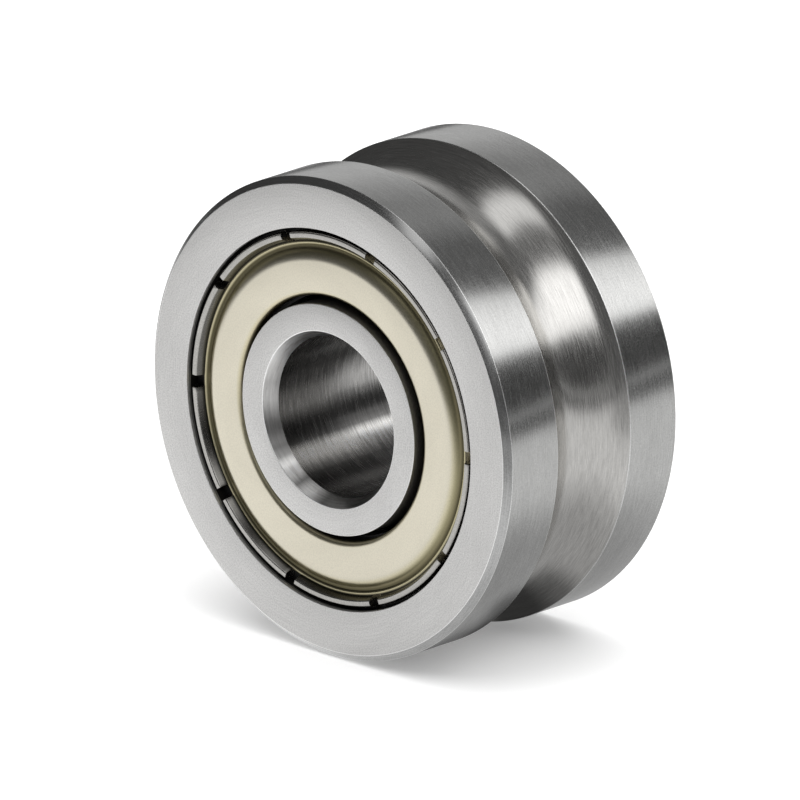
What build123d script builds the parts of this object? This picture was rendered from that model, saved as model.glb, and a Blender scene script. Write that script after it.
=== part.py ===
"""U-groove track roller: a grooved outer ring on two rows of balls, with a pressed shield on each face.

Millimetres. The axis of rotation is Y, the front face looks towards -Y, +Z is up, and the origin is
the centre of the bore at mid-width.
"""

from build123d import *
import math
import os

# Outer ring
roller_diameter = 24.0
roller_width = 12.0
rim_chamfer = 0.33
groove_radius = 3.05          # seats a 6 mm round rail
groove_width = 5.04
groove_lip_round = 0.06

# Inner ring
bore_diameter = 8.0
bore_chamfer_width = 0.40
bore_chamfer_depth = 0.72
inner_ring_wall = 1.75
edge_break = 0.03             # small bevel on every ground edge of a face

# Balls and raceways
ball_diameter = 3.175
balls_per_row = 10
row_spacing = 5.2             # between the centre planes of the two rows
raceway_depth = 0.45          # from a shoulder down to the bottom of its raceway
raceway_conformity = 0.52     # raceway radius as a share of the ball's diameter
ball_clearance = 0.01         # radial, at each raceway

# Cages
pocket_clearance = 0.06
cage_wall = 1.6
cage_back = 0.5               # solid ring behind the balls
cage_prong = 0.65             # reach of the prongs past the balls' centres
cage_gap = 0.25               # from the inner ring to the cage

# Shields
shield_sheet = 0.26
shield_recess = 0.20          # from the roller's face down to the shield's flat
shield_step = 0.30            # from the flat down to the valley
shield_seat_width = 1.45      # land in the outer ring that the shield sits on
shield_gap = 0.33             # from the inner ring to the shield
shield_collar = 0.50          # height of the turned-down collar at the shield's bore
step_run = 0.33
shoulder_share = 0.64         # share of the step's slope taken by the round at its top
foot_share = 0.24             # and by the round at its foot
valley_width = 0.16
lip_width = 0.24
lip_rise = 0.07
notch_drop = 0.03             # from the lip down to the foot of the petals
petal_width = 0.70            # from that foot out to the recess wall
petal_slope = 0.19
petal_crown_depth = 0.10      # from the roller's face down to the petals' crown
petal_crown_width = 0.28
petal_side_run = 0.05
petal_side_drop = 0.38        # from the crown down to the bottom of the gap along the wall
gap_fall = 0.06
slot_count = 10
slot_width = 0.62
first_slot_angle = 0.9        # degrees, from +X towards +Z

# What follows from them
half_width = roller_width / 2
rim_radius = roller_diameter / 2
bore_radius = bore_diameter / 2
ball_radius = ball_diameter / 2
row_offset = row_spacing / 2
inner_ring_radius = bore_radius + inner_ring_wall
ball_circle_radius = inner_ring_radius - raceway_depth + ball_clearance + ball_radius
outer_raceway_radius = ball_circle_radius + ball_radius + ball_clearance
shoulder_radius = outer_raceway_radius - raceway_depth
recess_radius = shoulder_radius + shield_seat_width
seat_depth = shield_recess + shield_step + shield_sheet
raceway_curve = raceway_conformity * ball_diameter
groove_centre_radius = rim_radius + math.sqrt(groove_radius**2 - (groove_width / 2) ** 2)
groove_bottom_radius = groove_centre_radius - groove_radius


def raceway_half_width():
    """Half the width of a raceway where it meets its shoulder."""
    centre_height = raceway_curve - raceway_depth
    return math.sqrt(raceway_curve**2 - centre_height**2)


def turned(edges):
    """A solid turned about the Y axis from edges drawn with X as the radius."""
    return revolve(make_face(edges), axis=Axis.Y)


def polyline_edges(points):
    """Straight edges through points, in order and open at the end."""
    return [Line(start, end) for start, end in zip(points, points[1:])]


def raceway_edge(shoulder, bottom, row, direction):
    """The arc of one raceway, from one shoulder edge to the other."""
    reach = raceway_half_width() * direction
    return ThreePointArc((shoulder, row - reach), (bottom, row), (shoulder, row + reach))


def make_outer_ring():
    """Two flanges, the rail groove, a shield recess in each face and two inner raceways."""
    groove_edge = groove_width / 2
    seat = half_width - seat_depth
    raceway = raceway_half_width()
    upper = [
        (shoulder_radius, row_offset + raceway),
        (shoulder_radius, seat),
        (recess_radius, seat),
        (recess_radius, half_width - edge_break),
        (recess_radius + edge_break, half_width),
        (rim_radius - rim_chamfer, half_width),
        (rim_radius, half_width - rim_chamfer),
        (rim_radius, groove_edge),
    ]
    lower = [(radius, -y) for radius, y in reversed(upper)]
    edges = polyline_edges(upper)
    edges.append(ThreePointArc(upper[-1], (groove_bottom_radius, 0), lower[0]))
    edges += polyline_edges(lower)
    edges.append(raceway_edge(shoulder_radius, outer_raceway_radius, -row_offset, 1))
    edges.append(Line((shoulder_radius, raceway - row_offset), (shoulder_radius, row_offset - raceway)))
    edges.append(raceway_edge(shoulder_radius, outer_raceway_radius, row_offset, 1))
    ring = turned(edges)
    lips = [
        edge
        for edge in ring.edges().filter_by(GeomType.CIRCLE)
        if abs(edge.radius - rim_radius) < 1e-3 and abs(abs(edge.center().Y) - groove_edge) < 1e-3
    ]
    return fillet(lips, groove_lip_round)


def make_inner_ring():
    """The ring that is clamped to the stud, with two outer raceways and a chamfered bore."""
    raceway = raceway_half_width()
    bottom = inner_ring_radius - raceway_depth
    bore = [
        (inner_ring_radius - edge_break, -half_width),
        (bore_radius + bore_chamfer_width, -half_width),
        (bore_radius, bore_chamfer_depth - half_width),
        (bore_radius, half_width - bore_chamfer_depth),
        (bore_radius + bore_chamfer_width, half_width),
        (inner_ring_radius - edge_break, half_width),
        (inner_ring_radius, half_width - edge_break),
        (inner_ring_radius, row_offset + raceway),
    ]
    edges = polyline_edges(bore)
    edges.append(raceway_edge(inner_ring_radius, bottom, row_offset, -1))
    edges.append(Line((inner_ring_radius, row_offset - raceway), (inner_ring_radius, raceway - row_offset)))
    edges.append(raceway_edge(inner_ring_radius, bottom, -row_offset, -1))
    edges.append(Line((inner_ring_radius, -row_offset - raceway), (inner_ring_radius, edge_break - half_width)))
    edges.append(Line((inner_ring_radius, edge_break - half_width), bore[0]))
    return turned(edges)


def shield_section():
    """Corners of the front shield's section: radius, depth below the face, corner radius."""
    collar = inner_ring_radius + shield_gap
    flat = shield_recess
    valley = shield_recess + shield_step
    under = valley + shield_sheet
    notch = recess_radius - petal_width
    lip = notch - lip_width / 2
    step_bottom = lip - lip_width / 2 - valley_width
    step_top = step_bottom - step_run
    crown_inner = notch + petal_slope
    crown_outer = crown_inner + petal_crown_width
    gap_floor = petal_crown_depth + petal_side_drop
    slope_reach = math.hypot(step_run, shield_step) / math.tan(math.atan2(shield_step, step_run) / 2)
    return [
        (collar, flat + shield_collar, 0),
        (collar, flat, 1.1 * shield_sheet),
        (step_top, flat, shoulder_share * slope_reach),
        (step_bottom, valley, foot_share * slope_reach),
        (step_bottom + valley_width, valley, 0.3 * shield_sheet),
        (lip, valley - lip_rise, 0.3 * shield_sheet),
        (notch, valley - lip_rise + notch_drop, 0.1 * shield_sheet),
        (crown_inner, petal_crown_depth, 0.35 * shield_sheet),
        (crown_outer, petal_crown_depth, 0.35 * shield_sheet),
        (crown_outer + petal_side_run, gap_floor, 0.15 * shield_sheet),
        (recess_radius, gap_floor + gap_fall, 0),
        (recess_radius, under, 0),
        (step_bottom - shield_sheet / 4, under, 0.4 * shield_sheet),
        (step_top - shield_sheet / 2, flat + shield_sheet, 0.4 * shield_sheet),
        (collar + shield_sheet, flat + shield_sheet, 0.2 * shield_sheet),
        (collar + shield_sheet, flat + shield_collar, 0),
    ]


def make_front_shield():
    """The pressed sheet ring, with its hemmed rim cut into petals by evenly spaced slots."""
    section = shield_section()
    outline = FilletPolyline(
        *[(radius, depth - half_width) for radius, depth, _ in section],
        radius=[corner for _, _, corner in section],
        close=True,
    )
    shield = revolve(make_face(outline.edges()), axis=Axis.Y)
    slot_start = recess_radius - petal_width
    slot_length = petal_width + slot_width / 2
    slot = Pos(slot_start + slot_length / 2, shield_recess - half_width, 0) * Box(
        slot_length, 4 * (shield_sheet + shield_step), slot_width
    )
    slots = [
        Rot(0, -first_slot_angle - index * 360 / slot_count, 0) * slot for index in range(slot_count)
    ]
    return shield - slots


def ball_places(row):
    """A plane at each ball of one row: its normal points outwards and its X to mid-width.

    The second row stands half a pitch round from the first.
    """
    side = 1 if row > 0 else -1
    pitch = 2 * math.pi / balls_per_row
    places = []
    for index in range(balls_per_row):
        angle = (index + side / 4) * pitch
        outwards = Vector(math.cos(angle), 0, math.sin(angle))
        centre = outwards * ball_circle_radius + Vector(0, row, 0)
        places.append(Plane(origin=centre, x_dir=(0, -side, 0), z_dir=outwards))
    return places


def make_cage(row):
    """A snap-in crown cage: a ring behind the balls with open pockets towards mid-width."""
    side = 1 if row > 0 else -1
    inside = inner_ring_radius + cage_gap
    pocket_radius = ball_radius + pocket_clearance
    front = row - side * cage_prong
    back = row + side * (pocket_radius + cage_back)
    section = Polyline(
        (inside, front),
        (inside + cage_wall, front),
        (inside + cage_wall, back),
        (inside, back),
        close=True,
    )
    ring = revolve(make_face(section.edges()), axis=Axis.Y)
    return ring - [place * Sphere(pocket_radius) for place in ball_places(row)]


def make_pieces():
    """Every piece at its place, by name."""
    front_shield = make_front_shield()
    pieces = {
        "outer_ring": make_outer_ring(),
        "inner_ring": make_inner_ring(),
        "front_shield": front_shield,
        "rear_shield": mirror(front_shield, about=Plane.XZ),
    }
    for side, row in (("front", -row_offset), ("rear", row_offset)):
        pieces[f"{side}_cage"] = make_cage(row)
        for number, place in enumerate(ball_places(row), start=1):
            pieces[f"ball_{side}_{number:02d}"] = place * Sphere(ball_radius)
    return pieces


os.makedirs("parts", exist_ok=True)
for name, piece in make_pieces().items():
    export_step(piece, f"parts/{name}.step")
    print(name, round(piece.volume, 3))
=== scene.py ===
import bpy
import math
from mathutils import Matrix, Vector


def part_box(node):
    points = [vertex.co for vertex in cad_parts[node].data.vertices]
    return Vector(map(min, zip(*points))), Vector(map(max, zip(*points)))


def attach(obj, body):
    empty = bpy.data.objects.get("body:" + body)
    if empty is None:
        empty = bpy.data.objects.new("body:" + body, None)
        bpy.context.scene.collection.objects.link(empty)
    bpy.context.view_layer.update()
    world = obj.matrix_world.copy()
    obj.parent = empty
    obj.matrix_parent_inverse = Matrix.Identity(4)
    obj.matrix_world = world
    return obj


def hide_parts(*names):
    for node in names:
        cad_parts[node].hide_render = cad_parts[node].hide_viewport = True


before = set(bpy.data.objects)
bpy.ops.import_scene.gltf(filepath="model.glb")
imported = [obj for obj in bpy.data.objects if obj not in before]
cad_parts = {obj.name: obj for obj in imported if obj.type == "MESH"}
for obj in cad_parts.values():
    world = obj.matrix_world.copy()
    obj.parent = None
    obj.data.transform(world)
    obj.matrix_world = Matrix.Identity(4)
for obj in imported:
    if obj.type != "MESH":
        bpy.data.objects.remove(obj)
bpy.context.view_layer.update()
mm = 0.001
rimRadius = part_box("outer_ring")[1].z
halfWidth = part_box("outer_ring")[1].y
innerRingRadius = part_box("inner_ring")[1].z
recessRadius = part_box("front_shield")[1].z
fullTurn = 2 * math.pi


# Camera at the photograph's angle
cameraSetup = {
    "azimuth": 43.96,
    "elevation": 18.29,
    "lens": 1500,
    "sensor": 36,
    "imageSize": 800,
    "pixelsPerRimRadius": 248.7,
    "centrePixel": (414.5, 391.9),
}


def makeCamera(s):
    azimuth, elevation = math.radians(s["azimuth"]), math.radians(s["elevation"])
    back = Vector((
        math.sin(azimuth) * math.cos(elevation),
        -math.cos(azimuth) * math.cos(elevation),
        math.sin(elevation),
    ))
    pixel = rimRadius / s["pixelsPerRimRadius"]
    distance = s["lens"] / s["sensor"] * s["imageSize"] * pixel
    turn = (-back).to_track_quat("-Z", "Y")
    sideways = (s["imageSize"] / 2 - s["centrePixel"][0]) * pixel
    upwards = (s["centrePixel"][1] - s["imageSize"] / 2) * pixel
    bpy.ops.object.camera_add(location=back * distance + turn @ Vector((sideways, upwards, 0)))
    camera = bpy.context.object
    camera.rotation_mode = "QUATERNION"
    camera.rotation_quaternion = turn
    camera.data.lens = s["lens"]
    camera.data.sensor_width = s["sensor"]
    camera.data.clip_start = distance / 2
    camera.data.clip_end = distance * 4
    bpy.context.scene.camera = camera


makeCamera(cameraSetup)
print("camera ready")


# Materials: small helpers, then one function for every metal and the polymer
def addNode(tree, kind, inputs=None, **settings):
    node = tree.nodes.new(kind)
    for key, value in settings.items():
        setattr(node, key, value)
    for key, value in (inputs or {}).items():
        if isinstance(value, bpy.types.NodeSocket):
            tree.links.new(value, node.inputs[key])
        else:
            node.inputs[key].default_value = value
    return node


def mathNode(tree, operation, *values):
    return addNode(tree, "ShaderNodeMath", dict(enumerate(values)), operation=operation).outputs[0]


def noiseNode(tree, place, inputs):
    return addNode(tree, "ShaderNodeTexNoise", {"Vector": place, **inputs}).outputs[0]


def rangeNode(tree, value, source, target, **settings):
    ends = {"From Min": source[0], "From Max": source[1], "To Min": target[0], "To Max": target[1]}
    return addNode(tree, "ShaderNodeMapRange", {"Value": value, **ends}, **settings).outputs[0]


def rampNode(tree, factor, stops):
    ramp = addNode(tree, "ShaderNodeValToRGB", {"Fac": factor})
    elements = ramp.color_ramp.elements
    while len(elements) < len(stops):
        elements.new(0.5)
    for element, (place, colour) in zip(elements, stops):
        element.position = place
        element.color = (*colour, 1) if isinstance(colour, tuple) else (colour, colour, colour, 1)
    return ramp.outputs["Color"]


def axisDistance(tree, axes):
    squares = [mathNode(tree, "POWER", axis, 2.0) for axis in (axes[0], axes[2])]
    return mathNode(tree, "SQRT", mathNode(tree, "ADD", *squares))


def turnRamp(tree, axes, bands):
    # bands round the Y axis: degrees from +X towards +Z, and level
    turn = mathNode(tree, "ARCTAN2", axes[2], axes[0])
    place = mathNode(tree, "ADD", mathNode(tree, "DIVIDE", turn, fullTurn), 0.5)
    return rampNode(tree, place, [((degrees + 180) / 360, level) for degrees, level in bands])


def grainVector(tree, axes, radius, around, across):
    # long streaks round the Y axis, fine across it, on cylinders and faces alike
    unitX = mathNode(tree, "MULTIPLY", mathNode(tree, "DIVIDE", axes[0], radius), around)
    unitZ = mathNode(tree, "MULTIPLY", mathNode(tree, "DIVIDE", axes[2], radius), around)
    sideX = mathNode(tree, "ADD", unitX, mathNode(tree, "MULTIPLY", radius, across))
    alongY = mathNode(tree, "MULTIPLY", axes[1], across)
    return addNode(tree, "ShaderNodeCombineXYZ", {0: sideX, 1: alongY, 2: unitZ}).outputs[0]


steelBase = {
    "colour": (0.60, 0.60, 0.59),
    "metallic": 1.0,
    "noiseSpan": (0.3, 0.7),
    "streakNoise": {"Scale": 1.0, "Detail": 4.0, "Roughness": 0.6},
    "streakAround": 12.0,
    "streakAcross": 20000.0,
    "streakShare": 0.55,
    "cloudNoise": {"Scale": 1.0, "Detail": 2.0},
    "cloudAround": 3.0,
    "cloudAcross": 900.0,
    "cloudTone": (0.97, 1.03),
    "speckNoise": {"Scale": 14000.0, "Detail": 2.0},
    "tone": (0.76, 1.24),
    "roughness": (0.14, 0.24),
    "bumpStrength": 0.35,
    "bumpDepth": 1.2e-6,
}


def makeFinish(name, s):
    material = bpy.data.materials.new(name)
    material.use_nodes = True
    tree = material.node_tree
    shader = tree.nodes["Principled BSDF"]
    shader.inputs["Metallic"].default_value = s["metallic"]

    place = addNode(tree, "ShaderNodeTexCoord").outputs["Object"]
    axes = addNode(tree, "ShaderNodeSeparateXYZ", {0: place}).outputs
    radius = axisDistance(tree, axes)
    streakPlace = grainVector(tree, axes, radius, s["streakAround"], s["streakAcross"])
    cloudPlace = grainVector(tree, axes, radius, s["cloudAround"], s["cloudAcross"])
    streaks = noiseNode(tree, streakPlace, s["streakNoise"])
    clouds = noiseNode(tree, cloudPlace, s["cloudNoise"])
    specks = noiseNode(tree, place, s["speckNoise"])
    mixed = mathNode(
        tree, "ADD",
        mathNode(tree, "MULTIPLY", streaks, s["streakShare"]),
        mathNode(tree, "MULTIPLY", specks, 1 - s["streakShare"]),
    )

    tone = rangeNode(tree, mixed, s["noiseSpan"], s["tone"])
    cloudTone = rangeNode(tree, clouds, s["noiseSpan"], s["cloudTone"])
    level = mathNode(tree, "MULTIPLY", tone, cloudTone)
    # painted light and shade: turns lighten and darken the colour round the axis, and rings darken it by
    # radius
    if "turns" in s:
        level = mathNode(tree, "MULTIPLY", level, turnRamp(tree, axes, s["turns"]))
    base = s["colour"]
    if "rings" in s:
        across = mathNode(tree, "DIVIDE", radius, rimRadius)
        base = rampNode(tree, across, [(ring / rimRadius, colour) for ring, colour in s["rings"]])
    colour = addNode(tree, "ShaderNodeVectorMath", {0: base, 1: level}, operation="MULTIPLY").outputs[0]
    tree.links.new(colour, shader.inputs["Base Color"])

    rough = rangeNode(tree, mixed, s["noiseSpan"], s["roughness"])
    tree.links.new(rough, shader.inputs["Roughness"])
    relief = {"Height": mixed, "Strength": s["bumpStrength"], "Distance": s["bumpDepth"]}
    tree.links.new(addNode(tree, "ShaderNodeBump", relief).outputs[0], shader.inputs["Normal"])
    return material


# What each finish changes in the plain steel: rings are colours by radius, with painted shade in them;
# turns are levels round the axis, which paint reflections and shade
finishes = {
    "groundFace": {
        "colour": (0.68, 0.675, 0.665), "roughness": (0.40, 0.50), "streakShare": 0.35,
        "tone": (0.74, 1.26),
    },
    "brushedRim": {},
    "grooveSteel": {"colour": (0.66, 0.65, 0.63), "roughness": (0.16, 0.25), "streakShare": 0.8},
    "chamferSteel": {"colour": (0.57, 0.57, 0.565), "roughness": (0.16, 0.26)},
    # painted highlight: a near-white tone on the small edge rounds stands for the glints along the edges
    "edgeSteel": {"colour": (0.95, 0.95, 0.94), "roughness": (0.30, 0.40)},
    # painted light and shade down the recess wall: a lighter band at the top, and a painted shade band
    # below it
    "recessSteel": {"colour": (0.74, 0.73, 0.71), "roughness": (0.55, 0.65)},
    "recessShade": {"colour": (0.40, 0.395, 0.385), "roughness": (0.55, 0.65)},
    # painted shade: near-black for the seat, the outer raceway and the gap behind the petals, where deep
    # shade falls
    "seatSteel": {"colour": (0.04, 0.04, 0.04), "roughness": (0.5, 0.6)},
    # painted shade: the inner ring's outer side and raceway, seen down the gap, are darkened
    "sideSteel": {"colour": (0.30, 0.295, 0.29), "roughness": (0.4, 0.5)},
    # painted reflections and shade: the turns set light and dark bands round the bore into its colour
    "boreSteel": {
        "turns": [
            (-180, 0.57), (-170, 0.57), (-160, 0.18), (-156, 0.12), (-150, 0.10), (-146, 0.17),
            (-141, 0.85), (-138, 1.0), (-134, 1.0), (-130, 0.72), (-127, 0.45), (-121, 0.16),
            (-110, 0.12), (-98, 0.18), (-86, 0.16), (-75, 0.20), (-50, 0.60), (-20, 0.50),
            (0, 0.30), (12, 0.22), (45, 0.36), (70, 0.52), (100, 0.45), (120, 0.36),
            (130, 0.30), (140, 0.19), (150, 0.18), (163, 0.17), (173, 0.41), (180, 0.57),
        ],
        "colour": (1.0, 0.985, 0.96), "roughness": (0.20, 0.30), "tone": (0.55, 1.45),
        "streakShare": 0.95, "streakAround": 3.0, "streakAcross": 9000.0,
    },
    # painted reflections and highlights: the turns set bright and dark bands round the bore's chamfer into
    # its colour
    "boreChamfer": {
        "turns": [
            (-180, 0.72), (-168, 0.58), (-158, 0.34), (-148, 0.14), (-141, 0.25), (-134, 1.0),
            (-127, 1.0), (-120, 0.20), (-113, 0.60), (-106, 1.0), (-96, 0.35), (-80, 0.60),
            (60, 0.70), (96, 1.0), (146, 1.0), (168, 0.62), (180, 0.72),
        ],
        "colour": (1.0, 0.99, 0.975), "roughness": (0.26, 0.38), "bumpStrength": 0.15,
        "streakShare": 0.95, "streakAround": 3.0, "streakAcross": 9000.0,
    },
    # the gold sheet's colour by radius, with painted shade: darker at the curled inner rim, down the step,
    # in the valley and at the notch, so that the lip stays a lighter line
    "shieldGold": {
        "rings": [
            (6.08 * mm, (0.40, 0.36, 0.23)), (6.20 * mm, (0.60, 0.55, 0.38)),
            (6.38 * mm, (0.705, 0.665, 0.55)), (7.95 * mm, (0.705, 0.665, 0.55)),
            (8.12 * mm, (0.68, 0.63, 0.45)), (8.26 * mm, (0.46, 0.42, 0.26)),
            (8.40 * mm, (0.22, 0.195, 0.115)), (8.50 * mm, (0.09, 0.08, 0.045)),
            (8.60 * mm, (0.09, 0.08, 0.045)), (8.65 * mm, (0.58, 0.53, 0.35)),
            (8.71 * mm, (0.52, 0.475, 0.31)), (8.75 * mm, (0.06, 0.055, 0.04)),
        ],
        "roughness": (0.28, 0.38), "streakShare": 0.2, "tone": (0.91, 1.09), "bumpStrength": 0.2,
    },
    # painted light: the gold sheet at the slots' foot is lighter than elsewhere on the sheet
    "slotGold": {
        "colour": (0.85, 0.76, 0.52), "roughness": (0.45, 0.55), "streakShare": 0.2, "bumpStrength": 0.2,
    },
    # painted shade: the petals' inner slope is darkened towards the notch
    "petalSlope": {
        "rings": [
            (8.81 * mm, (0.05, 0.05, 0.045)), (8.86 * mm, (0.16, 0.155, 0.145)),
            (8.98 * mm, (0.22, 0.215, 0.20)),
        ],
        "roughness": (0.20, 0.30),
    },
    "petalSteel": {"colour": (0.43, 0.42, 0.40), "roughness": (0.20, 0.30)},
    "ballSteel": {"colour": (0.78, 0.78, 0.79), "roughness": (0.06, 0.12), "bumpStrength": 0.1},
    "cagePolymer": {
        "colour": (0.03, 0.03, 0.03), "metallic": 0.0, "roughness": (0.45, 0.6), "streakShare": 0.1,
        "tone": (0.8, 1.2),
    },
}
materials = {name: makeFinish(name, {**steelBase, **changes}) for name, changes in finishes.items()}
print("materials ready")


# Turned pieces: an outline spun round Y. Its corners are (radius, y, corner round, finish of the run that
# follows, finish of the round); without the last one a round takes the finish of the run that follows
turning = {
    "cornerReach": 0.7,  # the longest part of a run that one corner's round may take
    "weldDistance": 1e-7,
    "smoothAngle": 28,
}


def roundCorner(corner, before, after, radius, steps):
    towards, onwards = (before - corner).normalized(), (after - corner).normalized()
    half = towards.angle(onwards) / 2
    longest = turning["cornerReach"] * min((before - corner).length, (after - corner).length)
    reach = min(radius / math.tan(half), longest)
    centre = corner + (towards + onwards).normalized() * (reach / math.cos(half))
    first, last = corner + towards * reach - centre, corner + onwards * reach - centre
    sweep = first.angle(last)
    return [
        centre + (first * math.sin(sweep - turn) + last * math.sin(turn)) / math.sin(sweep)
        for turn in (sweep * i / steps for i in range(steps + 1))
    ]


def drawOutline(corners, steps):
    points, runs = [], []
    for i, (radius, y, rounding, finish, *edge) in enumerate(corners):
        corner = Vector((radius, y))
        if not rounding:
            points.append(corner)
            runs.append(finish)
            continue
        before = Vector(corners[i - 1][:2])
        after = Vector(corners[(i + 1) % len(corners)][:2])
        arc = roundCorner(corner, before, after, rounding, steps)
        points += arc
        runs += (edge or [finish]) * (len(arc) - 1) + [finish]
    return points, runs


def arcRun(centre, radius, start, end, count, finish):
    # corners along a round run, both ends included; angles from the direction of +radius towards +y
    turns = [start + (end - start) * i / count for i in range(count + 1)]
    return [(centre[0] + radius * math.cos(t), centre[1] + radius * math.sin(t), 0, finish) for t in turns]


def dressRuns(piece, points, runs):
    # each face takes the finish of the outline run that it was spun from
    names = sorted(set(runs))
    for name in names:
        piece.data.materials.append(materials[name])
    middles = [(a + b) / 2 for a, b in zip(points, points[1:] + points[:1])]
    for face in piece.data.polygons:
        x, y, z = face.center
        place = Vector((math.hypot(x, z), y))
        nearest = min(range(len(middles)), key=lambda i: (middles[i] - place).length_squared)
        face.material_index = names.index(runs[nearest])


def spinOutline(name, corners, cornerSteps, spinSteps, sweep=fullTurn):
    points, runs = drawOutline(corners, cornerSteps)
    bpy.ops.object.select_all(action="DESELECT")
    bpy.ops.mesh.primitive_plane_add(size=mm, location=(points[0].x, points[0].y, 0))
    piece = bpy.context.object
    piece.name = name
    bpy.ops.object.transform_apply(location=True, rotation=True, scale=True)
    bpy.ops.object.mode_set(mode="EDIT")
    bpy.ops.mesh.select_all(action="SELECT")
    bpy.ops.mesh.merge(type="CENTER")
    for here, there in zip(points, points[1:] + points[:1]):
        step = (there.x - here.x, there.y - here.y, 0)
        bpy.ops.mesh.extrude_region_move(TRANSFORM_OT_translate={"value": step})
    bpy.ops.mesh.select_all(action="SELECT")
    bpy.ops.mesh.remove_doubles(threshold=turning["weldDistance"])
    if sweep < fullTurn:
        bpy.ops.mesh.edge_face_add()
    bpy.ops.mesh.spin(steps=spinSteps, angle=sweep, center=(0, 0, 0), axis=(0, 1, 0))
    bpy.ops.mesh.select_all(action="SELECT")
    bpy.ops.mesh.remove_doubles(threshold=turning["weldDistance"])
    bpy.ops.mesh.normals_make_consistent(inside=False)
    bpy.ops.object.mode_set(mode="OBJECT")
    dressRuns(piece, points, runs)
    return piece


def smoothPiece(piece):
    bpy.ops.object.select_all(action="DESELECT")
    piece.select_set(True)
    bpy.context.view_layer.objects.active = piece
    bpy.ops.object.shade_smooth_by_angle(angle=math.radians(turning["smoothAngle"]))


# Raceways, in both rings
raceway = {
    "depth": 0.45 * mm,
    "curve": 1.651 * mm,
    "rowOffset": 2.6 * mm,
    "steps": 10,
}


def racewayRuns(s, shoulder, outwards, finish):
    # both arcs, walked from high y to low y; outwards is 1 in the outer ring and -1 in the inner one
    lift = s["curve"] - s["depth"]
    half = outwards * math.acos(lift / s["curve"])
    middle = 0 if outwards > 0 else math.pi
    corners = []
    for row in (s["rowOffset"], -s["rowOffset"]):
        centre = (shoulder - outwards * lift, row)
        corners += arcRun(centre, s["curve"], middle + half, middle - half, s["steps"], finish)
    return corners


# Outer ring
outerRing = {
    "rimChamfer": 0.33 * mm,
    "chamferRound": 0.05 * mm,
    "grooveRadius": 3.05 * mm,
    "grooveWidth": 5.04 * mm,
    "lipRound": 0.06 * mm,
    "edgeRound": 0.03 * mm,
    "seatDepth": 0.76 * mm,
    # depths where the recess wall's painted lit band and painted shade band end
    "brightWall": 0.15 * mm,
    "shadedWall": 0.27 * mm,
    "shoulderRadius": 8.045 * mm,
    "grooveSteps": 48,
    "cornerSteps": 4,
    "spinSteps": 288,
}


def makeOuterRing(s):
    edge = s["grooveWidth"] / 2
    half = math.asin(edge / s["grooveRadius"])
    centre = (rimRadius + s["grooveRadius"] * math.cos(half), 0)
    start, end = math.pi + half, math.pi - half
    groove = arcRun(centre, s["grooveRadius"], start, end, s["grooveSteps"], "grooveSteel")
    groove[0] = (rimRadius, -edge, s["lipRound"], "grooveSteel", "edgeSteel")
    groove[-1] = (rimRadius, edge, s["lipRound"], "brushedRim", "edgeSteel")
    seat = halfWidth - s["seatDepth"]
    # the recess wall runs from the painted lit band, through the painted shade band, to near-black painted
    # shade at the seat
    rear = [
        (rimRadius, halfWidth - s["rimChamfer"], s["chamferRound"], "chamferSteel", "edgeSteel"),
        (rimRadius - s["rimChamfer"], halfWidth, s["chamferRound"], "groundFace", "edgeSteel"),
        (recessRadius, halfWidth, s["edgeRound"], "recessSteel", "groundFace"),
        (recessRadius, halfWidth - s["brightWall"], 0, "recessShade"),
        (recessRadius, halfWidth - s["shadedWall"], 0, "seatSteel"),
        (recessRadius, seat, 0, "seatSteel"),
        (s["shoulderRadius"], seat, s["edgeRound"], "seatSteel"),
    ]
    front = [
        (s["shoulderRadius"], -seat, s["edgeRound"], "seatSteel"),
        (recessRadius, -seat, 0, "seatSteel"),
        (recessRadius, s["shadedWall"] - halfWidth, 0, "recessShade"),
        (recessRadius, s["brightWall"] - halfWidth, 0, "recessSteel"),
        (recessRadius, -halfWidth, s["edgeRound"], "groundFace", "groundFace"),
        (rimRadius - s["rimChamfer"], -halfWidth, s["chamferRound"], "chamferSteel", "edgeSteel"),
        (rimRadius, s["rimChamfer"] - halfWidth, s["chamferRound"], "brushedRim", "edgeSteel"),
    ]
    inside = racewayRuns(raceway, s["shoulderRadius"], 1, "seatSteel")
    piece = spinOutline("outerRing", front + groove + rear + inside, s["cornerSteps"], s["spinSteps"])
    smoothPiece(piece)
    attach(piece, "roller")
    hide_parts("outer_ring")


makeOuterRing(outerRing)
print("outer ring ready")


# Inner ring
innerRing = {
    "boreRadius": 4.0 * mm,
    "chamferWidth": 0.40 * mm,
    "chamferDepth": 0.72 * mm,
    "edgeRound": 0.03 * mm,
    "boreRound": 0.05 * mm,
    "cornerSteps": 4,
    "spinSteps": 192,
}


def makeInnerRing(s):
    mouth = s["boreRadius"] + s["chamferWidth"]
    wallEnd = halfWidth - s["chamferDepth"]
    bore = [
        (innerRingRadius, -halfWidth, s["edgeRound"], "groundFace", "edgeSteel"),
        (mouth, -halfWidth, s["boreRound"], "boreChamfer", "edgeSteel"),
        (s["boreRadius"], -wallEnd, s["boreRound"], "boreSteel"),
        (s["boreRadius"], wallEnd, s["boreRound"], "boreChamfer"),
        (mouth, halfWidth, s["boreRound"], "groundFace", "edgeSteel"),
        (innerRingRadius, halfWidth, s["edgeRound"], "sideSteel", "edgeSteel"),
    ]
    outside = racewayRuns(raceway, innerRingRadius, -1, "sideSteel")
    piece = spinOutline("innerRing", bore + outside, s["cornerSteps"], s["spinSteps"])
    smoothPiece(piece)
    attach(piece, "inner_ring")
    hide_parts("inner_ring")


makeInnerRing(innerRing)
print("inner ring ready")


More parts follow.
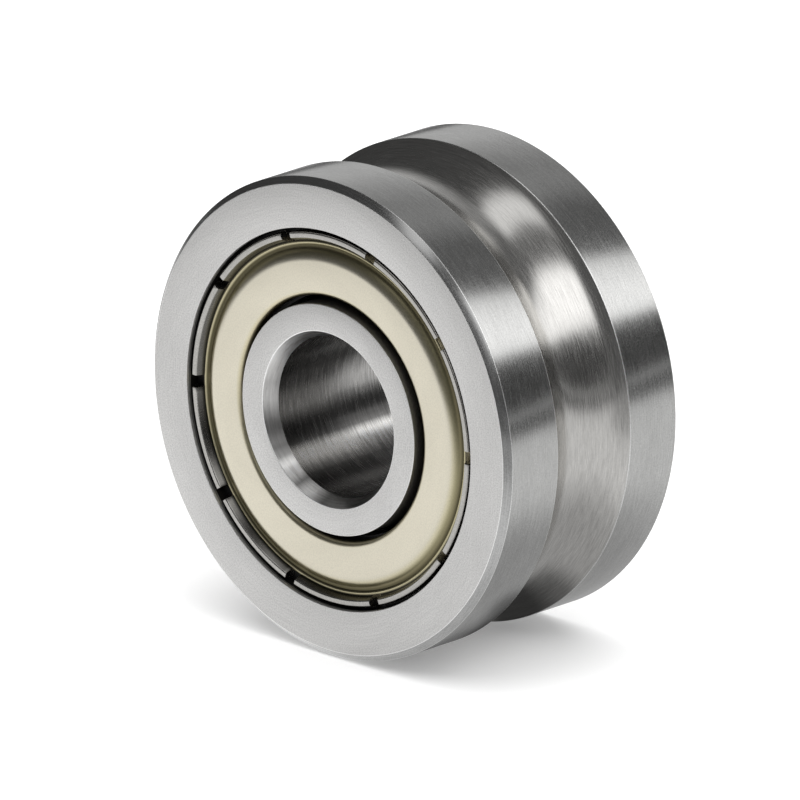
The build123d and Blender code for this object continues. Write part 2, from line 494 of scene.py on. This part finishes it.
# Shields: a gold sheet ring, and the bright petals that its hemmed rim is cut into
shield = {
    "sheet": 0.26 * mm,
    "recess": 0.20 * mm,
    "step": 0.30 * mm,
    "gap": 0.33 * mm,
    "collar": 0.50 * mm,
    "stepRun": 0.33 * mm,
    "shoulderShare": 0.64,
    "footShare": 0.24,
    "valleyWidth": 0.16 * mm,
    "lipWidth": 0.24 * mm,
    "lipRise": 0.07 * mm,
    "notchDrop": 0.03 * mm,
    "petalWidth": 0.70 * mm,
    "petalSlope": 0.19 * mm,
    "crownDepth": 0.10 * mm,
    "crownWidth": 0.28 * mm,
    "sideRun": 0.05 * mm,
    "sideDrop": 0.38 * mm,
    "gapFall": 0.06 * mm,
    "wallClearance": 0.005 * mm,
    "collarRound": 0.286 * mm,
    "lipRound": 0.078 * mm,
    "underRound": 0.104 * mm,
    "collarUnderRound": 0.052 * mm,
    "petalFootRound": 0.026 * mm,
    "crownRound": 0.091 * mm,
    "gapRound": 0.039 * mm,
    "petalEndRound": 0.08 * mm,
    "petalEndSteps": 3,
    "petalEndAngle": 70,
    "slotCount": 10,
    "slotWidth": 0.62 * mm,
    "slotFoot": 0.21 * mm,
    "firstSlotAngle": 0.9,
    "cornerSteps": 7,
    "spinSteps": 240,
    "petalSteps": 22,
}


def makePetals(name, corners, s):
    pitch = fullTurn / s["slotCount"]
    slotAngle = s["slotWidth"] / (recessRadius - s["petalWidth"] / 2)
    petals = spinOutline(name, corners, s["cornerSteps"], s["petalSteps"], sweep=pitch - slotAngle)
    ends = petals.modifiers.new("ends", "BEVEL")
    ends.width = s["petalEndRound"]
    ends.segments = s["petalEndSteps"]
    ends.limit_method = "ANGLE"
    ends.angle_limit = math.radians(s["petalEndAngle"])
    bpy.ops.object.modifier_apply(modifier=ends.name)
    bpy.ops.object.mode_set(mode="EDIT")
    bpy.ops.mesh.select_all(action="SELECT")
    firstTurn = math.radians(s["firstSlotAngle"]) + slotAngle / 2
    bpy.ops.transform.rotate(value=firstTurn, orient_axis="Y", center_override=(0, 0, 0))
    for _ in range(s["slotCount"] - 1):
        bpy.ops.mesh.duplicate()
        bpy.ops.transform.rotate(value=pitch, orient_axis="Y", center_override=(0, 0, 0))
    bpy.ops.object.mode_set(mode="OBJECT")
    smoothPiece(petals)
    return petals


def makeShield(name, node, side, s):
    sheet = s["sheet"]
    collar = innerRingRadius + s["gap"]
    valley = s["recess"] + s["step"]
    under = valley + sheet
    notch = recessRadius - s["petalWidth"]
    lip = notch - s["lipWidth"] / 2
    stepBottom = lip - s["lipWidth"] / 2 - s["valleyWidth"]
    stepTop = stepBottom - s["stepRun"]
    footDepth = valley - s["lipRise"] + s["notchDrop"]
    crownInner = notch + s["petalSlope"]
    crownOuter = crownInner + s["crownWidth"]
    gapFloor = s["crownDepth"] + s["sideDrop"]
    slopeReach = math.hypot(s["stepRun"], s["step"]) / math.tan(math.atan2(s["step"], s["stepRun"]) / 2)
    wall = recessRadius - s["wallClearance"]
    # radius, depth below the roller's face, corner round, finishes
    sheetSection = [
        (collar, s["recess"] + s["collar"], 0, "shieldGold"),
        (collar, s["recess"], s["collarRound"], "shieldGold"),
        (stepTop, s["recess"], s["shoulderShare"] * slopeReach, "shieldGold"),
        (stepBottom, valley, s["footShare"] * slopeReach, "shieldGold"),
        (stepBottom + s["valleyWidth"], valley, s["lipRound"], "shieldGold"),
        (lip, valley - s["lipRise"], s["lipRound"], "shieldGold"),
        # the slot's foot takes the lightened gold, painted light
        (notch, footDepth, 0, "slotGold"),
        (notch + s["slotFoot"], under, 0, "shieldGold"),
        (stepBottom - sheet / 4, under, s["underRound"], "shieldGold"),
        (stepTop - sheet / 2, s["recess"] + sheet, s["underRound"], "shieldGold"),
        (collar + sheet, s["recess"] + sheet, s["collarUnderRound"], "shieldGold"),
        (collar + sheet, s["recess"] + s["collar"], 0, "shieldGold"),
    ]
    # the petals' outer side and the gap behind them take the near-black painted shade
    petalSection = [
        (notch - sheet / 8, footDepth + sheet / 8, 0, "petalSlope"),
        (notch, footDepth, s["petalFootRound"], "petalSlope"),
        (crownInner, s["crownDepth"], s["crownRound"], "petalSteel"),
        (crownOuter, s["crownDepth"], s["crownRound"], "petalSteel"),
        (crownOuter + s["sideRun"], gapFloor, s["gapRound"], "seatSteel", "petalSteel"),
        (wall, gapFloor + s["gapFall"], 0, "seatSteel"),
        (wall, under, 0, "seatSteel"),
        (notch + sheet / 2, under, 0, "petalSteel"),
    ]

    def placed(section):
        return [(radius, side * (halfWidth - depth), *rest) for radius, depth, *rest in section]

    piece = spinOutline(name, placed(sheetSection), s["cornerSteps"], s["spinSteps"])
    smoothPiece(piece)
    petals = makePetals(name + "Petals", placed(petalSection), s)
    bpy.ops.object.select_all(action="DESELECT")
    petals.select_set(True)
    piece.select_set(True)
    bpy.context.view_layer.objects.active = piece
    bpy.ops.object.join()
    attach(piece, "roller")
    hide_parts(node)


makeShield("frontShield", "front_shield", -1, shield)
makeShield("rearShield", "rear_shield", 1, shield)
print("shields ready")


# Balls and cages keep their own shapes and take a finish
def dressNode(name, finish):
    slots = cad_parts[name].data.materials
    slots.clear()
    slots.append(materials[finish])


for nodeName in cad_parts:
    if nodeName.startswith("ball_"):
        dressNode(nodeName, "ballSteel")
    elif nodeName.endswith("_cage"):
        dressNode(nodeName, "cagePolymer")
print("balls and cages dressed")


# Floor and light
studio = {
    "floorRadius": 1.5,
    "floorSides": 128,
    "floorColour": 0.80,
    "floorGlow": 0.22,
    "farFloor": 0.10,
    # places where the floor's glow, as the steel reflects it, is brighter or darker: painted reflections,
    # and a painted shadow of the roller near its contact; centre, inner and outer radius, level
    "floorZones": [
        ((0.0, 0.0), 85 * mm, 150 * mm, 0.72),
        ((-38 * mm, -46 * mm), 30 * mm, 75 * mm, 1.12),
        ((45 * mm, -50 * mm), 12 * mm, 40 * mm, 0.35),
        ((-30 * mm, 36 * mm), 16 * mm, 40 * mm, 0.06),
        ((10 * mm, 3 * mm), 4 * mm, 17 * mm, 0.38),
        ((2.4 * mm, -1 * mm), 2 * mm, 5.6 * mm, 0.15),
        ((6.8 * mm, 1.6 * mm), 0.5 * mm, 2.8 * mm, 0.13),
        ((4.2 * mm, 2 * mm), 1 * mm, 3.2 * mm, 0.04),
    ],
    # brightness of the studio round the Y axis: degrees from +X towards +Z, and level
    "backBands": [
        (-180, 0.50), (0, 0.75), (2, 0.06), (27, 0.06), (29, 1.5), (44, 1.3), (56, 1.0), (61, 0.14),
        (88, 0.12), (96, 0.22), (106, 0.30), (118, 0.27), (142, 0.45), (154, 0.55), (180, 0.52),
    ],
    "sideBands": [
        (-180, 0.40), (0, 0.75), (2, 0.05), (27, 0.05), (30, 1.5), (56, 1.5), (63, 0.15), (80, 0.15),
        (85, 0.95), (98, 0.95), (105, 0.07), (180, 0.05),
    ],
    "frontLevel": 0.10,
    # where along y the bands fade from the sides to the back, and from the front to the sides
    "backEdge": (0.35, 0.64),
    "frontEdge": (-0.70, -0.64),
    "keyPlace": (0.01, -0.013, 0.28),
    "keySize": 0.50,
    "keyEnergy": 1.9,
}


def fade(tree, value, source, target):
    return rangeNode(tree, value, source, target, interpolation_type="SMOOTHSTEP")


def blend(tree, factor, low, high):
    step = mathNode(tree, "MULTIPLY", factor, mathNode(tree, "SUBTRACT", high, low))
    return mathNode(tree, "ADD", low, step)


def mixShaders(tree, factor, first, second):
    return addNode(tree, "ShaderNodeMixShader", {0: factor, 1: first, 2: second}).outputs[0]


def makeFloor(s):
    bpy.ops.mesh.primitive_circle_add(
        vertices=s["floorSides"], radius=s["floorRadius"], fill_type="NGON", location=(0, 0, -rimRadius)
    )
    floor = bpy.context.object
    floor.name = "floor"
    bpy.ops.object.transform_apply(location=True, rotation=True, scale=True)
    material = bpy.data.materials.new("paleFloor")
    material.use_nodes = True
    tree = material.node_tree
    tree.nodes.clear()
    place = addNode(tree, "ShaderNodeTexCoord").outputs["Object"]
    shine = s["farFloor"]
    for centre, inner, outer, level in s["floorZones"]:
        ends = {0: place, 1: (*centre, -rimRadius)}
        away = addNode(tree, "ShaderNodeVectorMath", ends, operation="DISTANCE").outputs["Value"]
        shine = blend(tree, fade(tree, away, (inner, outer), (1.0, 0.0)), shine, level)
    grey = (s["floorColour"], s["floorColour"], s["floorColour"], 1)
    matt = addNode(tree, "ShaderNodeBsdfDiffuse", {"Color": grey}).outputs[0]
    glow = addNode(tree, "ShaderNodeEmission", {"Strength": s["floorGlow"]}).outputs[0]
    seen = addNode(tree, "ShaderNodeAddShader", {0: matt, 1: glow}).outputs[0]
    # what the steel reflects of the floor is a glow painted with the zones, with a painted shadow near the
    # contact
    reflected = addNode(tree, "ShaderNodeEmission", {"Strength": shine}).outputs[0]
    light = addNode(tree, "ShaderNodeLightPath").outputs
    plain = mixShaders(tree, light["Is Camera Ray"], matt, seen)
    mixed = mixShaders(tree, light["Is Glossy Ray"], plain, reflected)
    addNode(tree, "ShaderNodeOutputMaterial", {0: mixed})
    floor.data.materials.append(material)


def makeWorld(s):
    world = bpy.data.worlds.new("studio")
    bpy.context.scene.world = world
    world.use_nodes = True
    tree = world.node_tree
    tree.nodes.clear()
    direction = addNode(tree, "ShaderNodeTexCoord").outputs["Generated"]
    axes = addNode(tree, "ShaderNodeSeparateXYZ", {0: direction}).outputs
    back, side = (turnRamp(tree, axes, s[key]) for key in ("backBands", "sideBands"))
    ring = blend(tree, fade(tree, axes[1], s["backEdge"], (0.0, 1.0)), side, back)
    ring = blend(tree, fade(tree, axes[1], s["frontEdge"], (0.0, 1.0)), s["frontLevel"], ring)
    studioLight = addNode(tree, "ShaderNodeBackground", {"Color": ring}).outputs[0]
    white = addNode(tree, "ShaderNodeBackground", {"Color": (1, 1, 1, 1)}).outputs[0]
    seen = addNode(tree, "ShaderNodeLightPath").outputs["Is Camera Ray"]
    addNode(tree, "ShaderNodeOutputWorld", {0: mixShaders(tree, seen, studioLight, white)})


def makeKeyLamp(s):
    bpy.ops.object.light_add(type="AREA", location=s["keyPlace"])
    lamp = bpy.context.object
    lamp.name = "keyLamp"
    lamp.rotation_mode = "QUATERNION"
    lamp.rotation_quaternion = (-Vector(s["keyPlace"])).to_track_quat("-Z", "Y")
    lamp.data.size = s["keySize"]
    lamp.data.energy = s["keyEnergy"]
    lamp.visible_glossy = False


makeFloor(studio)
makeWorld(studio)
makeKeyLamp(studio)
bpy.context.scene.view_settings.view_transform = "Standard"
print("studio ready")
